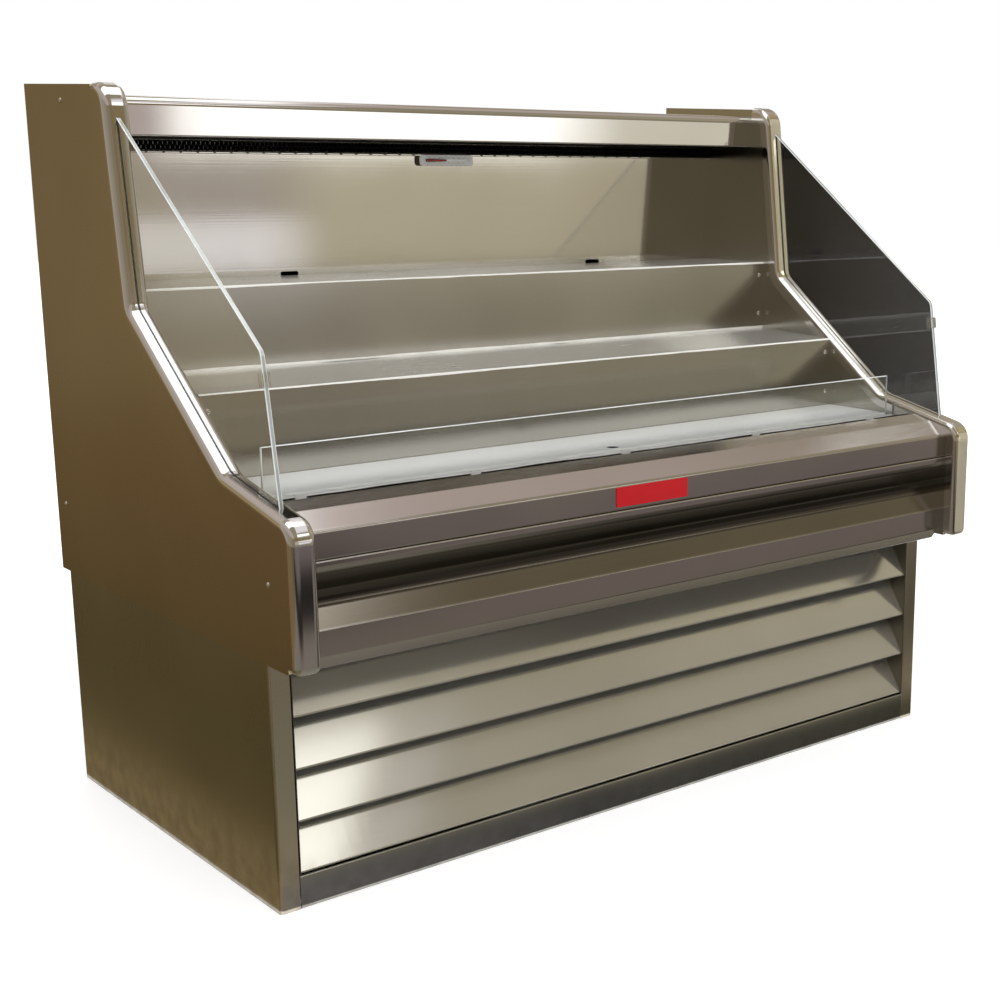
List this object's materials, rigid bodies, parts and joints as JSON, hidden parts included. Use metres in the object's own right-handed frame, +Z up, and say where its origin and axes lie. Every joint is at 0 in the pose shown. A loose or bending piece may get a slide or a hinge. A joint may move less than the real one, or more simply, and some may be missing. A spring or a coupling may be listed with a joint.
{
  "type": "open display refrigerator",
  "caption": "Low open-front refrigerated display case with a deck and stepped tiers under a short canopy, glass wings, a coved nose rail and a louvred machine base",
  "frame": {"origin": "on the floor, under the middle of the case's outer box", "axes": "+X to the right as a shopper sees the front, +Y to the rear, +Z up"},
  "size_m": [1.2994, 0.762, 1.092],
  "materials": {
    "stainless": "brushed",
    "polished_trim": "polished",
    "galvanised": "satin",
    "foam": "matte",
    "pane_glass": "polished",
    "clear_clip": "gloss",
    "red_plate": "gloss",
    "black_plastic": "matte",
    "thermometer_plate": "gloss",
    "frame_paint": "satin",
    "black_paint": "gloss",
    "rubber_mount": "matte",
    "fin_aluminium": "satin",
    "copper": "satin",
    "valve_brass": "satin",
    "box_paint": "satin",
    "screw_steel": "satin",
    "drain_plastic": "matte"
  },
  "bodies": {
    "cabinet": {"back_panel": "galvanised", "badge_plate": "red_plate", "base_frame": "frame_paint", "base_rear_panel": "galvanised", "base_side_left": "stainless", "base_side_right": "stainless", "canopy": "stainless", "canopy_insulation": "foam", "compressor": "black_paint", "compressor_mounts": "rubber_mount", "condensate_pan": "galvanised", "condenser_coil": "fin_aluminium", "condenser_motor": "black_paint", "condenser_shroud": "galvanised", "control_box": "box_paint", "dam_clips": "stainless", "deck_rail": "stainless", "discharge_honeycomb": "black_plastic", "drain_outlet": "drain_plastic", "end_core_left": "foam", "end_core_right": "foam", "end_liner_left": "stainless", "end_liner_right": "stainless", "end_skin_left": "stainless", "end_skin_right": "stainless", "end_trim_left": "polished_trim", "end_trim_right": "polished_trim", "evap_motors": "black_paint", "evaporator_coil": "fin_aluminium", "expansion_valve": "valve_brass", "fan_plenum": "stainless", "filter_drier": "copper", "front_dam": "pane_glass", "front_panel": "stainless", "glass_clips": "clear_clip", "kick_plate": "stainless", "levelling_feet": "screw_steel", "middle_tier": "stainless", "nose_rail": "stainless", "panel_screws": "screw_steel", "rear_duct_panel": "stainless", "receiver_tank": "black_paint", "refrigerant_pipes": "copper", "return_air_grille": "black_plastic", "side_glass_left": "pane_glass", "side_glass_right": "pane_glass", "tank_insulation": "foam", "tank_liner": "stainless", "tank_shell": "galvanised", "thermometer": "thermometer_plate", "unit_tray": "galvanised", "upper_tier": "stainless"},
    "louvre_grille": {"louvre_blades": "stainless", "grille_frame": "stainless"},
    "deck_pan": {"lower_deck": "stainless"},
    "condenser_fan_rotor": {"condenser_fan": "fin_aluminium"},
    "evaporator_fan_left": {"evap_fan_left": "black_plastic"},
    "evaporator_fan_right": {"evap_fan_right": "black_plastic"},
    "dial": {"thermostat_dial": "black_plastic"},
    "rocker": {"power_switch": "black_plastic"}
  },
  "joints": [
    {"name": "grille_pull", "type": "slide", "parent": "cabinet", "child": "louvre_grille", "axis": [0, -1, 0], "range_m": [0, 0.2]},
    {"name": "deck_lift", "type": "slide", "parent": "cabinet", "child": "deck_pan", "axis": [0, 0, 1], "range_m": [0, 0.12]},
    {"name": "condenser_fan_spin", "type": "hinge", "parent": "cabinet", "child": "condenser_fan_rotor", "pos_m": [0.25, -0.144, 0.176], "axis": [0, 1, 0], "continuous": true},
    {"name": "evaporator_fan_left_spin", "type": "hinge", "parent": "cabinet", "child": "evaporator_fan_left", "pos_m": [-0.28, 0.0306, 0.468], "axis": [0, 1, 0], "continuous": true},
    {"name": "evaporator_fan_right_spin", "type": "hinge", "parent": "cabinet", "child": "evaporator_fan_right", "pos_m": [0.28, 0.0306, 0.468], "axis": [0, 1, 0], "continuous": true},
    {"name": "thermostat_turn", "type": "hinge", "parent": "cabinet", "child": "dial", "pos_m": [-0.52, -0.214, 0.15], "axis": [0, -1, 0], "range_deg": [0, 300]},
    {"name": "power_rocker", "type": "hinge", "parent": "cabinet", "child": "rocker", "pos_m": [-0.445, -0.214, 0.15], "axis": [-1, 0, 0], "range_deg": [0, 14]}
  ]
}
